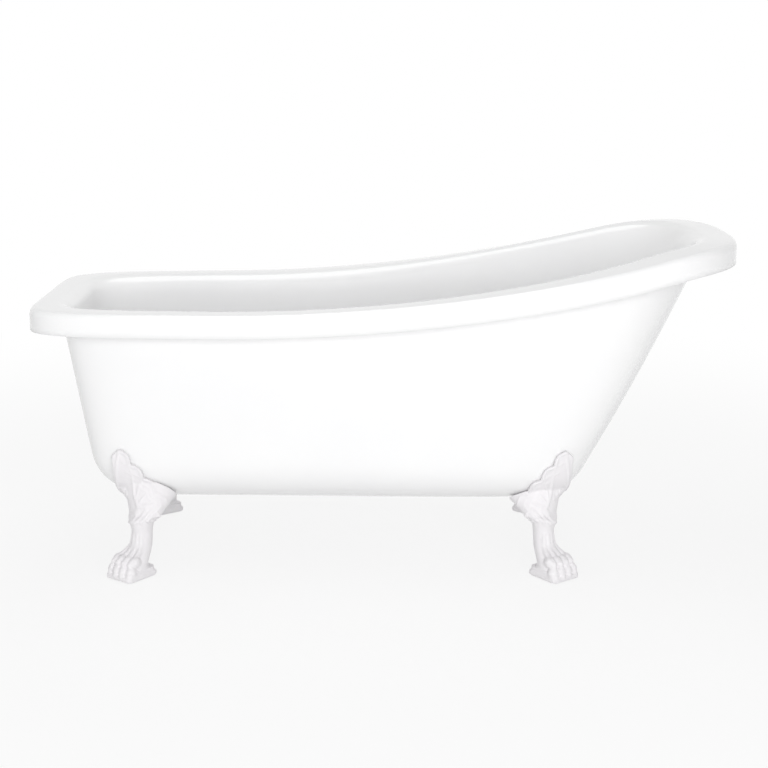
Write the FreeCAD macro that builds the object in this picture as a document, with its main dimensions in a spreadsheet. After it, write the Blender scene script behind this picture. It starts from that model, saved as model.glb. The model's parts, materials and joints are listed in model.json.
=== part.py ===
import FreeCAD, Part
# Slipper bathtub on four paw feet, in millimetres, +Z up.
# The origin is on the floor, under the middle of the tub's length and width.
# The low end, with the waste, points along -X and the raised back along +X.
# "front" is the -Y side and "back" the +Y side.
import math
import os

import Sketcher
from FreeCAD import Vector

DOCUMENT = FreeCAD.newDocument("slipper_bathtub")
SHEET = DOCUMENT.addObject("Spreadsheet::Sheet", "Sizes")

SIZES = {
    # rim outline seen from above
    "rim_length": 1700.0,
    "rim_half_width": 372.0,
    "rim_taper": 52.0,              # added to the half width at the back rest, taken off at the low end
    "foot_end_power": 8.0,          # superellipse power of the squarish low end
    "head_end_power": 3.0,          # and of the rounder back rest end
    "floor_head_power": 6.0,        # the floor stays squarish at the back rest end too
    # rim seen from the side
    "rim_height": 660.0,            # floor to rim top at the low end
    "slipper_rise": 150.0,          # extra height of the back rest
    "rise_start": -420.0,           # where the rim starts to climb
    "rise_turn": 645.0,             # where the climb turns over towards the tip
    # rolled rim
    "rim_skirt": 55.0,              # rim top to the trimmed lower edge
    "rim_edge_round": 16.0,
    "shoulder_round": 36.0,
    "rim_ledge": 88.0,              # outer face of the rim to the wall line of the well
    # well
    "basin_wall": 6.0,
    "basin_round": 110.0,           # between the well's floor and its walls
    "basin_foot_reach": 683.0,      # tub middle to the wall line at floor level, low end
    "basin_head_reach": 428.0,
    "basin_half_width": 222.0,
    "floor_taper": 8.0,
    # outer skin
    "skin_wall": 5.0,
    "skin_bottom": 170.0,           # floor to the underside of the tub
    "skin_round": 135.0,
    "skin_foot_reach": 700.0,
    "skin_head_reach": 452.0,
    "skin_half_width": 250.0,
    "skin_ledge": 68.0,
    "skin_flange_edge": 24.0,       # outer face of the rim to the edge of the skin's glued flange
    "skin_shoulder_round": 10.0,
    "bond_line": 1.0,
    # supports between the two shells
    "channel_height": 15.0,
    "channel_width": 60.0,
    "channel_length": 204.0,
    "channel_wall": 3.0,
    "board_thickness": 18.0,
    "board_half_width": 150.0,
    "board_overhang": 45.0,         # board end beyond the centre line of a channel
    "board_corner_round": 60.0,
    # feet, placed by the centre of the paw
    "paw_low_x": -617.0,
    "paw_high_x": 407.0,
    "paw_side": 264.0,              # tub middle to paw centre
    "toe_out": 37.0,                # degrees between the paws and straight sideways
    "paw_width": 80.0,
    "paw_depth": 88.0,
    "sole_height": 24.0,
    "sole_round": 16.0,
    "paw_height": 66.0,
    "toe_size": 13.0,
    "toe_pitch": 21.0,
    "knuckle_size": 14.5,
    "ankle_width": 50.0,
    "ankle_setback": 38.0,          # paw centre to the middle of the leg
    "calf_width": 54.0,
    "hip_width": 126.0,
    "hip_depth": 74.0,
    "hip_lean": 34.0,               # how far the hip leans back under the tub
    "seat_gap": 1.0,                # foot to skin
    "plate_thickness": 9.0,
    "plate_height": 148.0,          # plate tip above the tub's underside
    "plate_reach": 116.0,           # plate tip to the far end of one wing
    "plate_drop": 20.0,             # wing end below the tub's underside
    "plate_outboard": 25.0,         # paw centre to the plate's tip, along the tub
    "tongue_width": 42.0,
    "tongue_thickness": 12.0,
    # foot fixings
    "bolt_diameter": 10.0,
    "bolt_fit": 0.05,
    "bolt_hole_clearance": 0.5,
    "bolt_inboard": 72.0,           # paw centre to its bolts, along the tub
    "bolt_side": 72.0,              # tub middle to the middle of a bolt pair
    "bolt_pitch": 36.0,
    "bolt_head_flats": 17.0,
    "bolt_head_height": 6.4,
    "washer_diameter": 20.0,
    "washer_thickness": 2.0,
    "weld_nut_flats": 17.0,
    "weld_nut_height": 8.0,
    # levelling feet
    "sole_gap": 2.0,                # floor to paw sole with the leveller screwed right in
    "pad_diameter": 40.0,
    "pad_thickness": 8.0,
    "pad_clearance": 3.0,
    "screw_diameter": 10.0,
    "screw_fit": 0.05,
    "screw_length": 60.0,
    "screw_pitch": 1.5,
    "socket_depth": 5.0,
    "locknut_flats": 17.0,
    "locknut_height": 4.5,
    "locknut_gap": 0.5,
    "bore_spare": 4.0,
    # waste
    "waste_x": -430.0,
    "waste_thread": 47.8,           # outer diameter of the waste's tube where a trap screws on
    "waste_shank": 48.4,            # the same above that thread, where the backnut sits
    "waste_runout": 1.0,            # groove between the two
    "waste_bore": 40.0,
    "waste_clearance": 0.8,
    "waste_drop": 24.0,             # end of the tube below the tub's underside
    "flange_diameter": 72.0,
    "flange_thickness": 3.0,
    "gasket_thickness": 2.5,
    "backnut_flats": 68.0,
    "backnut_height": 9.0,
    "access_clearance": 10.0,
    "strainer_depth": 16.0,         # top of the flange to the cross that holds the cartridge
    "strainer_thickness": 5.0,
    "strainer_bar": 5.0,
    "cartridge_diameter": 14.0,
    "cartridge_length": 30.0,
    "cartridge_hex": 17.0,
    "cartridge_collar": 4.0,
    "stem_diameter": 7.0,
    "stem_fit": 0.05,
    "stem_travel": 9.0,
    "cap_diameter": 62.0,
    "cap_thickness": 3.5,
    "cap_crown": 2.5,
    "cap_gap": 0.4,
    "seal_thickness": 2.0,
    "seal_width": 3.0,
    "boss_diameter": 13.0,
}


class Size:
    """A length that knows both its value and the sheet expression it comes from."""

    def __init__(self, value, text):
        self.value = float(value)
        self.text = text

    def __add__(self, other):
        other = as_size(other)
        return Size(self.value + other.value, f"({self.text} + {other.text})")

    def __sub__(self, other):
        other = as_size(other)
        return Size(self.value - other.value, f"({self.text} - {other.text})")

    def __mul__(self, factor):
        return Size(self.value * factor, f"({self.text} * {factor})")

    def __truediv__(self, divisor):
        return Size(self.value / divisor, f"({self.text} / {divisor})")

    def __neg__(self):
        return Size(-self.value, f"(0 - {self.text})")


def as_size(number):
    """Wrap a plain number, so that it can be added to a size."""
    if isinstance(number, Size):
        return number
    return Size(number, f"{number}")


def fill_sheet():
    """Write every driving size into the sheet, with its alias."""
    for row, (alias, value) in enumerate(SIZES.items(), start=1):
        SHEET.set(f"A{row}", alias)
        SHEET.set(f"B{row}", f"{value}")
        SHEET.setAlias(f"B{row}", alias)
    DOCUMENT.recompute()


def size(alias):
    """A size of the sheet, for dimensions that are bound to it."""
    return Size(SHEET.get(alias), f"Sizes.{alias}")


def mm(alias):
    """A size of the sheet as a plain number, for free-form shapes."""
    return float(SHEET.get(alias))


def bind(thing, prop, length):
    """Set a property and tie it to the sheet."""
    thing.setExpression(prop, length.text)


def place(thing, x=None, y=None, z=None):
    """Tie the position of an object to the sheet."""
    for axis, length in (("x", x), ("y", y), ("z", z)):
        if length is not None:
            bind(thing, f".Placement.Base.{axis}", as_size(length))


# ---------------------------------------------------------------- derived levels

fill_sheet()

SKIN_FLOOR = size("skin_bottom") + size("skin_wall")
BOARD_BOTTOM = SKIN_FLOOR + size("channel_height")
BOARD_TOP = BOARD_BOTTOM + size("board_thickness")
WELL_FLOOR = BOARD_TOP + size("basin_wall")
FLANGE_TOP = WELL_FLOOR + size("gasket_thickness") + size("flange_thickness")
CAP_BASE = FLANGE_TOP + size("cap_gap")
CROSS_TOP = FLANGE_TOP - size("strainer_depth")
TONGUE_BOTTOM = size("skin_bottom") - size("tongue_thickness")
PAD_TOP = size("pad_thickness")
LOCKNUT_BOTTOM = PAD_TOP + size("locknut_gap")
RECESS_TOP = LOCKNUT_BOTTOM + size("locknut_height")
SCREW_BOTTOM = PAD_TOP - size("socket_depth")
SCREW_TOP = SCREW_BOTTOM + size("screw_length")
ENDS = {"low": size("paw_low_x"), "high": size("paw_high_x")}
SIDES = {"front": -1, "back": 1}

# ---------------------------------------------------------------- free-form shells

RING_POINTS = 72
CORNER_STEPS = 4
LEG_POINTS = 24
OPEN_STEPS = 20
SEAT_HALVINGS = 18
SEAT_ROUNDS = 3
BLOCK_ANGLES = (10, 70)  # degrees from the tub's end, the stretch that a foot touches
LEAF_MARGIN = 0.11  # how far a foot's plate runs past its tip, to its height
HIP_SCALES = (1, 0.75, 0.5, 0.25)


class WallSection:
    """One wall seen edge on: floor, rounded corner, straight lean and rounded shoulder.

    Reaches are distances outward from the middle of the tub. The radii are those of
    the surface that faces the bather, and the other surface lies a thickness behind it.
    """

    def __init__(self, floor_reach, floor_level, rim_reach, rim_level, floor_round, shoulder_round):
        self.lean = math.atan2(rim_reach - floor_reach, rim_level - floor_level)
        self.turn = math.pi / 2 - self.lean
        tangent = math.tan(self.turn / 2)
        self.floor_centre = (floor_reach - floor_round * tangent, floor_level + floor_round)
        self.shoulder_centre = (rim_reach + shoulder_round * tangent, rim_level - shoulder_round)
        self.floor_round = floor_round
        self.shoulder_round = shoulder_round

    def corner(self, share, behind):
        """A point of the lower corner, share 0 on the floor and 1 where the wall starts."""
        radius = self.floor_round + behind
        angle = share * self.turn
        reach, level = self.floor_centre
        return reach + radius * math.sin(angle), level - radius * math.cos(angle)

    def shoulder(self, share, behind):
        """A point of the shoulder, share 0 where the wall ends and 1 on the flat rim."""
        radius = self.shoulder_round - behind
        angle = (1 - share) * self.turn
        reach, level = self.shoulder_centre
        return reach - radius * math.sin(angle), level + radius * math.cos(angle)

    def wall(self, height, behind):
        """A point of the straight wall, height 0 at its foot and 1 at the shoulder."""
        low = self.corner(1, behind)
        high = self.shoulder(0, behind)
        return low[0] + (high[0] - low[0]) * height, low[1] + (high[1] - low[1]) * height

    def height_of(self, level, behind):
        """How far up the straight wall a level lies, from 0 to 1."""
        low = self.corner(1, behind)[1]
        high = self.shoulder(0, behind)[1]
        return (level - low) / (high - low)


def squareness(angle, height=1):
    """How far a superellipse bulges past an ellipse at this angle round the tub.

    The height runs from 0 at the floor to 1 at the rim.
    """
    across = abs(math.cos(angle))
    along = abs(math.sin(angle))
    ease = height * height * (3 - 2 * height)
    head_power = mm("floor_head_power") + (mm("head_end_power") - mm("floor_head_power")) * ease
    power = head_power + (mm("foot_end_power") - head_power) * (1 - math.cos(angle)) / 2
    return (across ** power + along ** power) ** (-1 / power)


def rim_rise(x):
    """Height that the slipper curve adds to the rim: two arcs that meet at the turn."""
    start = mm("rise_start")
    turn = mm("rise_turn")
    end = mm("rim_length") / 2
    slope = 2 * mm("slipper_rise") / (end - start)
    climb = min(max(x, start), turn) - start
    over = min(max(x, turn), end) - turn
    rise = slope * climb ** 2 / (2 * (turn - start))
    return rise + slope * over - slope * over ** 2 / (2 * (end - turn))


def rim_level(angle):
    """Rim top at this angle round the tub."""
    x = mm("rim_length") / 2 * math.cos(angle) * squareness(angle)
    return mm("rim_height") + rim_rise(x)


def rim_point(angle, inset, drop):
    """A point of the rolled rim, so far in from its outer face and so far below its top."""
    bulge = squareness(angle)
    half_length = mm("rim_length") / 2 - inset
    half_width = mm("rim_half_width") + mm("rim_taper") * math.cos(angle) - inset
    x = half_length * math.cos(angle) * bulge
    y = half_width * math.sin(angle) * bulge
    return Vector(x, y, rim_level(angle) - drop)


def blend_walls(angle, height, foot, head, side):
    """Join the low end, back rest and side sections into one point of a ring."""
    across = math.cos(angle)
    bulge = squareness(angle, height)
    middle = (head[0] - foot[0]) / 2
    half_length = (head[0] + foot[0]) / 2
    end_level = (head[1] * (1 + across) + foot[1] * (1 - across)) / 2
    level = side[1] + (end_level - side[1]) * across ** 2
    return Vector(middle + half_length * across * bulge, side[0] * math.sin(angle) * bulge, level)


def basin_walls(angle):
    """Sections of the well's walls."""
    top = rim_level(angle)
    floor = WELL_FLOOR.value
    end_rim = mm("rim_length") / 2 - mm("rim_ledge")
    side_rim = mm("rim_half_width") + mm("rim_taper") * math.cos(angle) - mm("rim_ledge")
    side_floor = mm("basin_half_width") + mm("floor_taper") * math.cos(angle)
    rounds = (mm("basin_round"), mm("shoulder_round"))
    foot = WallSection(mm("basin_foot_reach"), floor, end_rim, top, *rounds)
    head = WallSection(mm("basin_head_reach"), floor, end_rim, top, *rounds)
    side = WallSection(side_floor, floor, side_rim, top, *rounds)
    return foot, head, side


def skin_walls(angle):
    """Sections of the outer skin's walls. Its shoulder turns out under the rim."""
    top = rim_level(angle) - mm("basin_wall") - mm("bond_line")
    floor = SKIN_FLOOR.value
    end_rim = mm("rim_length") / 2 - mm("skin_ledge")
    side_rim = mm("rim_half_width") + mm("rim_taper") * math.cos(angle) - mm("skin_ledge")
    side_floor = mm("skin_half_width") + mm("floor_taper") * math.cos(angle)
    rounds = (mm("skin_round"), mm("skin_shoulder_round"))
    foot = WallSection(mm("skin_foot_reach"), floor, end_rim, top, *rounds)
    head = WallSection(mm("skin_head_reach"), floor, end_rim, top, *rounds)
    side = WallSection(side_floor, floor, side_rim, top, *rounds)
    return foot, head, side


def ring(point_at, count=RING_POINTS):
    """A closed smooth wire through points at even angles."""
    angles = [2 * math.pi * step / count for step in range(count)]
    knots = [step / count for step in range(count + 1)]
    curve = Part.BSplineCurve()
    curve.interpolate(Points=[point_at(angle) for angle in angles], PeriodicFlag=True, Parameters=knots)
    return Part.Wire([curve.toShape()])


def wall_ring(walls, height, pick):
    """A ring whose points are picked from the three wall sections at each angle."""
    return ring(lambda angle: blend_walls(angle, height, *[pick(section) for section in walls(angle)]))


def open_wire(point_at, first, last):
    """An open smooth wire through points at even steps between two angles."""
    knots = [step / OPEN_STEPS for step in range(OPEN_STEPS + 1)]
    curve = Part.BSplineCurve()
    curve.interpolate(Points=[point_at(first + (last - first) * knot) for knot in knots], Parameters=knots)
    return Part.Wire([curve.toShape()])


def corner_rings(walls, behind):
    """Rings from the floor up to where the straight walls start."""
    shares = [step / CORNER_STEPS for step in range(CORNER_STEPS + 1)]
    return [wall_ring(walls, 0, lambda s, share=share: s.corner(share, behind)) for share in shares]


def shoulder_rings(walls, behind):
    """Rings from the top of the straight walls to the flat of the rim."""
    shares = [step / CORNER_STEPS for step in range(CORNER_STEPS + 1)]
    return [wall_ring(walls, 1, lambda s, share=share: s.shoulder(share, behind)) for share in shares]


def wall_rings(walls, behind):
    """Rings up the straight walls, from the lower corner to the shoulder."""
    shares = [step / CORNER_STEPS for step in range(CORNER_STEPS + 1)]
    return [wall_ring(walls, share, lambda s, share=share: s.wall(share, behind)) for share in shares]


def rim_ring(inset, drop):
    """A ring of the rolled rim."""
    return ring(lambda angle: rim_point(angle, inset, drop))


def rim_edge_rings(behind):
    """Rings round the rim's outer rounding, from its flat top to its outer face."""
    radius = mm("rim_edge_round")
    rings = []
    for step in range(CORNER_STEPS + 1):
        angle = math.pi / 2 * step / CORNER_STEPS
        inset = radius - (radius - behind) * math.sin(angle)
        drop = radius - (radius - behind) * math.cos(angle)
        rings.append(rim_ring(inset, drop))
    return rings


def smooth_band(rings):
    """One smooth surface through several rings."""
    return Part.makeLoft(rings, False, False).Faces


def straight_band(lower, upper):
    """The straight surface between two rings."""
    return Part.makeLoft([lower, upper], False, True).Faces


def closed_solid(faces):
    """Sew faces that share their edges into one solid."""
    shell = Part.makeShell(faces)
    shell.sewShape()
    solid = Part.makeSolid(shell)
    if solid.Volume < 0:
        solid.reverse()
    return solid


def surface_faces(walls, behind):
    """One side of a shell, from its flat floor over its shoulder, with its last ring."""
    corner = corner_rings(walls, behind)
    shoulder = shoulder_rings(walls, behind)
    faces = [Part.Face(corner[0])]
    faces += smooth_band(corner)
    faces += smooth_band(wall_rings(walls, behind))
    faces += smooth_band(shoulder)
    return faces, shoulder[-1]


def basin_shape():
    """The well with its rolled rim, which hangs down as a trimmed skirt."""
    wall = mm("basin_wall")
    faces = []
    lower_edges = []
    for behind in (0, wall):
        side_faces, ledge = surface_faces(basin_walls, behind)
        edge = rim_edge_rings(behind)
        skirt = rim_ring(behind, mm("rim_skirt"))
        faces += side_faces
        faces += straight_band(ledge, edge[0])
        faces += smooth_band(edge)
        faces += straight_band(edge[-1], skirt)
        lower_edges.append(skirt)
    faces += straight_band(*lower_edges)
    return drilled(closed_solid(faces), mm("waste_thread") / 2 + mm("waste_clearance"))


def skin_shape():
    """The outer skin, an open bowl with a flange that is glued under the rim."""
    wall = mm("skin_wall")
    under_rim = mm("basin_wall") + mm("bond_line")
    faces = []
    flange_edges = []
    for behind in (0, wall):
        side_faces, ledge = surface_faces(skin_walls, behind)
        edge = rim_ring(mm("skin_flange_edge"), under_rim + behind)
        faces += side_faces
        faces += straight_band(ledge, edge)
        flange_edges.append(edge)
    faces += straight_band(*flange_edges)
    shape = drilled(closed_solid(faces), mm("waste_thread") / 2 + mm("access_clearance"))
    holes = [bolt_hole(x, y) for x, y in bolt_places()]
    return shape.cut(holes)


def drilled(shape, radius):
    """Cut the waste's round hole through the floor of a shell."""
    start = Vector(mm("waste_x"), 0, 0)
    return shape.cut(Part.makeCylinder(radius, WELL_FLOOR.value + mm("basin_wall"), start))


def bolt_places():
    """Centres of the eight foot bolts, seen from above."""
    places = []
    for end in ENDS.values():
        for side in SIDES.values():
            for step in (-1, 1):
                x = bolt_line(end).value
                y = side * mm("bolt_side") + step * mm("bolt_pitch") / 2
                places.append((x, y))
    return places


def bolt_line(end):
    """X of the channel and bolts that belong to one pair of feet."""
    inboard = size("bolt_inboard")
    if end.value < 0:
        return end + inboard
    return end - inboard


def bolt_hole(x, y):
    """A through hole for one foot bolt, up to the underside of the board."""
    radius = mm("bolt_diameter") / 2 + mm("bolt_hole_clearance")
    return Part.makeCylinder(radius, BOARD_BOTTOM.value, Vector(x, y, 0))


def seat_point(angle, share, behind):
    """A point of the tub's rounded underside, grown outwards.

    The share runs from 0 at the edge of the flat floor to 1 where the wall starts, and
    below 0 the point lies on the flat.
    """
    points = []
    for section in skin_walls(angle):
        reach, level = section.corner(max(share, 0), behind)
        inward = min(share, 0) * (section.floor_round + behind) * section.turn
        points.append((reach + inward, level))
    return blend_walls(angle, 0, *points)


def seat_level(x, y, behind):
    """Level of the tub's rounded underside, grown outwards, over a place seen from above."""
    low = 0
    high = 1
    angle = math.atan2(y, x)
    for _ in range(SEAT_HALVINGS):
        share = (low + high) / 2
        for _ in range(SEAT_ROUNDS):
            foot, head, side = [section.corner(share, behind)[0] for section in skin_walls(angle)]
            middle = (head - foot) / 2
            angle = math.atan2(y / side, (x - middle) / (head + foot) * 2)
        point = seat_point(angle, share, behind)
        if math.hypot(point.x - middle, point.y) > math.hypot(x - middle, y):
            high = share
        else:
            low = share
    return point.z


def wall_point(angle, level, behind):
    """A point of the tub's outer wall at one level, grown outwards."""
    sections = skin_walls(angle)
    heights = [section.height_of(level, behind) for section in sections]
    points = [section.wall(height, behind) for section, height in zip(sections, heights)]
    return blend_walls(angle, heights[-1], *points)


def corner_block(end, behind, top):
    """The tub's outer form around one front foot, grown outwards and filled inwards."""
    if end.value < 0:
        first, last = (math.pi + math.radians(angle) for angle in BLOCK_ANGLES)
    else:
        last, first = (2 * math.pi - math.radians(angle) for angle in BLOCK_ANGLES)
    wires = []
    for share in (-0.5, -0.25, 0, 0.2, 0.4, 0.6, 0.8, 1):
        wires.append(open_wire(lambda angle, share=share: seat_point(angle, share, behind), first, last))
    start = seat_point(first, 1, behind).z
    for share in (1 / 3, 2 / 3, 1):
        level = start + (top - start) * share
        wires.append(open_wire(lambda angle, level=level: wall_point(angle, level, behind), first, last))
    depth = mm("skin_half_width") + mm("skin_round") / 2
    inwards = Vector(math.copysign(depth, -end.value), depth, depth)
    return smooth_band(wires)[0].extrude(inwards)


# ---------------------------------------------------------------- feet


def paw_point(end, x, y, level):
    """A point given about a front paw's centre, toes towards -Y, turned and moved into place."""
    turn = math.copysign(math.radians(mm("toe_out")), end.value)
    across = x * math.cos(turn) - y * math.sin(turn)
    along = x * math.sin(turn) + y * math.cos(turn)
    return Vector(end.value + across, along - mm("paw_side"), level)


def put_paw(end, shape):
    """Turn and move a shape that is built about the paw's centre."""
    shape.rotate(Vector(), Vector(0, 0, 1), math.copysign(mm("toe_out"), end.value))
    shape.translate(Vector(end.value, -mm("paw_side"), 0))
    return shape


def leg_ring(end, width, depth, shift, level):
    """A level oval of the leg, shifted back from the paw's centre."""

    def point_at(angle):
        return paw_point(end, width / 2 * math.cos(angle), shift + depth / 2 * math.sin(angle), level)

    return ring(point_at, LEG_POINTS)


def hip_rings(end):
    """Ovals that close the top of the leg over the tub's underside, inside the plate's thickness."""
    behind = mm("skin_wall") + mm("seat_gap") + mm("plate_thickness") / 2
    middle = paw_point(end, 0, mm("ankle_setback") + mm("hip_lean"), 0)
    turn = math.copysign(math.radians(mm("toe_out")), end.value)

    def point_at(angle, scale):
        x = middle.x + scale * mm("hip_width") / 2 * math.cos(angle + turn)
        y = middle.y + scale * mm("hip_depth") / 2 * math.sin(angle + turn)
        return Vector(x, y, seat_level(x, y, behind))

    def level_point(angle):
        point = point_at(angle, HIP_SCALES[-1] / 2)
        point.z = point_at(0, 0).z
        return point

    rings = [ring(lambda angle, scale=scale: point_at(angle, scale), LEG_POINTS) for scale in HIP_SCALES]
    return rings + [ring(level_point, LEG_POINTS)]


def ball(radius, centre, stretch):
    """A toe or knuckle: a sphere drawn out by the three factors of stretch."""
    matrix = FreeCAD.Matrix()
    matrix.scale(*stretch)
    shape = Part.makeSphere(radius).transformGeometry(matrix)
    shape.translate(centre)
    return shape


def leg_shape(end):
    """Leg from inside the paw to inside the plate."""
    sole = mm("sole_gap")
    paw_top = sole + mm("paw_height")
    back = mm("ankle_setback")
    lean = mm("hip_lean")
    ankle = mm("ankle_width")
    calf = mm("calf_width")
    hip_level = mm("skin_bottom") - mm("plate_drop")
    calf_level = (paw_top + mm("skin_bottom")) / 2
    rings = [
        leg_ring(end, mm("paw_width") * 0.98, mm("paw_depth") * 0.94, 0, sole + mm("sole_height") * 0.6),
        leg_ring(end, mm("paw_width") * 0.9, mm("paw_depth") * 0.86, back * 0.16, sole + mm("paw_height") * 0.6),
        leg_ring(end, ankle * 1.12, ankle * 1.2, back * 0.75, paw_top),
        leg_ring(end, ankle, ankle, back, (paw_top + calf_level) / 2),
        leg_ring(end, calf, calf, back, calf_level),
        leg_ring(end, mm("hip_width") * 0.74, mm("hip_depth") * 0.84, back + lean * 0.4, hip_level),
    ]
    hip = hip_rings(end)
    faces = [Part.Face(rings[0])]
    faces += smooth_band(rings)
    for lower, upper in zip(rings[-1:] + hip, hip):
        faces += straight_band(lower, upper)
    faces += [Part.Face(hip[-1])]
    return closed_solid(faces)


def paw_shape():
    """Sole, four toes in front of it and four knuckles above them, about the paw's centre."""
    sole = mm("sole_gap")
    width = mm("paw_width")
    depth = mm("paw_depth")
    block = Part.makeBox(width, depth, mm("sole_height"), Vector(-width / 2, -depth / 2, sole))
    upright = [edge for edge in block.Edges if abs(edge.tangentAt(0).z) > 0.5]
    block = block.makeFillet(mm("sole_round"), upright)
    radius = mm("toe_size")
    knuckle = mm("knuckle_size")
    shapes = []
    for step in (-1.5, -0.5, 0.5, 1.5):
        across = step * mm("toe_pitch")
        curve = abs(step) * radius / 4
        toe = Vector(across * 0.98, radius * 0.6 + curve - depth / 2, sole + radius)
        shapes.append(ball(radius, toe, (0.9, 1.3, 1)))
        top = Vector(across * 0.86, knuckle * 1.5 + curve - depth / 2, sole + mm("paw_height") * 0.62)
        shapes.append(ball(knuckle, top, (0.78, 1.5, 0.9)))
    return block.fuse(shapes)


def scalloped_leaf(reach, height, drop):
    """Outline of the plate seen from the side: its tip at the left, its end at the right."""
    tip = Vector(0, 0, height)
    end = Vector(reach, 0, 0)
    bumps = 4
    lift = height * 0.07
    points = [tip + (end - tip) * (step / bumps) for step in range(bumps + 1)]
    normal = Vector(height, 0, reach).normalize()
    edges = []
    for start, stop in zip(points, points[1:]):
        crest = (start + stop) / 2 + normal * lift
        edges.append(Part.Arc(start, crest, stop).toShape())
    margin = height * LEAF_MARGIN
    corner = Vector(-margin, 0, height - margin)
    base = Vector(-margin, 0, -drop)
    last = Vector(reach * 0.85, 0, -drop)
    for start, stop in ((end, last), (last, base), (base, corner), (corner, tip)):
        edges.append(Part.LineSegment(start, stop).toShape())
    return Part.Face(Part.Wire(edges))


def plate_shape(end):
    """The scalloped plate that lies against the tub's side, next to its corner."""
    leaf = scalloped_leaf(mm("plate_reach"), mm("plate_height"), mm("plate_drop"))
    leaf = leaf.extrude(Vector(0, -mm("rim_half_width"), 0))
    tip_x = end.value - mm("plate_outboard")
    if end.value > 0:
        leaf = leaf.mirror(Vector(), Vector(1, 0, 0))
        tip_x = end.value + mm("plate_outboard")
    leaf.translate(Vector(tip_x, -mm("skin_half_width") / 2, mm("skin_bottom")))
    inside = mm("skin_wall") + mm("seat_gap")
    top = mm("skin_bottom") + mm("plate_height") + mm("hip_depth")
    plate = leaf.common(corner_block(end, inside + mm("plate_thickness"), top))
    return plate.cut(corner_block(end, inside, top))


def tongue_shape(end):
    """The flat arm of a foot that runs in under the tub to its two bolts."""
    half = mm("tongue_width") / 2
    bolts = bolt_line(end).value
    level = TONGUE_BOTTOM.value
    start = paw_point(end, 0, mm("ankle_setback") + mm("hip_lean"), level)
    stop = (mm("bolt_pitch") + mm("washer_diameter") * 1.4) / 2 - mm("bolt_side")
    corners = [
        Vector(start.x - half, start.y, level), Vector(start.x + half, start.y, level),
        Vector(bolts + half, stop, level), Vector(bolts - half, stop, level),
    ]
    outline = Part.makePolygon(corners + corners[:1])
    return Part.Face(outline).extrude(Vector(0, 0, mm("tongue_thickness")))


def foot_shape(end):
    """One cast foot: paw and leg, plate, and the tongue that bolts under the tub."""
    shape = leg_shape(end).fuse(tongue_shape(end)).fuse(plate_shape(end)).fuse(put_paw(end, paw_shape()))
    centre = Vector(end.value, -mm("paw_side"), 0)
    recess = Part.makeCylinder(mm("pad_diameter") / 2 + mm("pad_clearance"), RECESS_TOP.value, centre)
    bore_depth = SCREW_TOP.value + mm("bore_spare")
    bore = Part.makeCylinder(mm("screw_diameter") / 2 + mm("screw_fit"), bore_depth, centre)
    holes = [bolt_hole(x, y) for x, y in bolt_places() if y < 0]
    shape = shape.cut([recess, bore] + holes)
    return max(shape.Solids, key=lambda solid: solid.Volume)


def add_shape(name, shape):
    """A free-form piece: its shape is set here, from the sheet's sizes."""
    piece = DOCUMENT.addObject("Part::Feature", name)
    piece.Label = name
    piece.Shape = shape
    piece.Placement = FreeCAD.Placement()
    return piece


# ---------------------------------------------------------------- turned, cut and bolted pieces


def origin_plane(body, role):
    """One of a body's own origin planes or axes."""
    for feature in body.Origin.OriginFeatures:
        if feature.Role == role:
            return feature
    raise LookupError(role)


def new_body(name):
    """An empty body with its label."""
    body = DOCUMENT.addObject("PartDesign::Body", name)
    body.Label = name
    return body


def new_sketch(body, name, plane):
    """A sketch on one of the body's origin planes."""
    sketch = body.newObject("Sketcher::SketchObject", name)
    sketch.AttachmentSupport = [(origin_plane(body, plane), "")]
    sketch.MapMode = "FlatFace"
    return sketch


def pin_point(sketch, line, end, across, up):
    """Tie one end of a line to its two sizes, or to an axis where a size is zero."""
    for kind, axis, length in (("DistanceX", -2, across), ("DistanceY", -1, up)):
        if abs(length.value) < 1e-9:
            sketch.addConstraint(Sketcher.Constraint("PointOnObject", line, end, axis))
            continue
        index = sketch.addConstraint(Sketcher.Constraint(kind, -1, 1, line, end, length.value))
        sketch.setExpression(f"Constraints[{index}]", length.text)


def draw_polygon(sketch, corners):
    """A closed outline of straight lines through corners that are tied to the sheet."""
    first = sketch.GeometryCount
    pairs = [(as_size(across), as_size(up)) for across, up in corners]
    spots = [Vector(across.value, up.value, 0) for across, up in pairs]
    for start, stop in zip(spots, spots[1:] + spots[:1]):
        sketch.addGeometry(Part.LineSegment(start, stop), False)
    for index, (across, up) in enumerate(pairs):
        line = first + index
        before = first + (index - 1) % len(pairs)
        sketch.addConstraint(Sketcher.Constraint("Coincident", before, 2, line, 1))
        pin_point(sketch, line, 1, across, up)


def draw_circle(sketch, across, up, diameter):
    """A circle whose centre and diameter are tied to the sheet."""
    across = as_size(across)
    up = as_size(up)
    centre = Vector(across.value, up.value, 0)
    circle = sketch.addGeometry(Part.Circle(centre, Vector(0, 0, 1), diameter.value / 2), False)
    pin_point(sketch, circle, 3, across, up)
    index = sketch.addConstraint(Sketcher.Constraint("Diameter", circle, diameter.value))
    sketch.setExpression(f"Constraints[{index}]", diameter.text)


def turned(name, profile, x=0, y=0, z=0):
    """A piece turned on a lathe: a profile of (radius, height) corners round the Z axis."""
    body = new_body(name)
    sketch = new_sketch(body, name + "_profile", "XZ_Plane")
    draw_polygon(sketch, profile)
    turn = body.newObject("PartDesign::Revolution", name + "_turn")
    turn.Profile = sketch
    turn.ReferenceAxis = (sketch, ["V_Axis"])
    turn.Angle = 360
    place(body, x, y, z)
    return body


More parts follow.
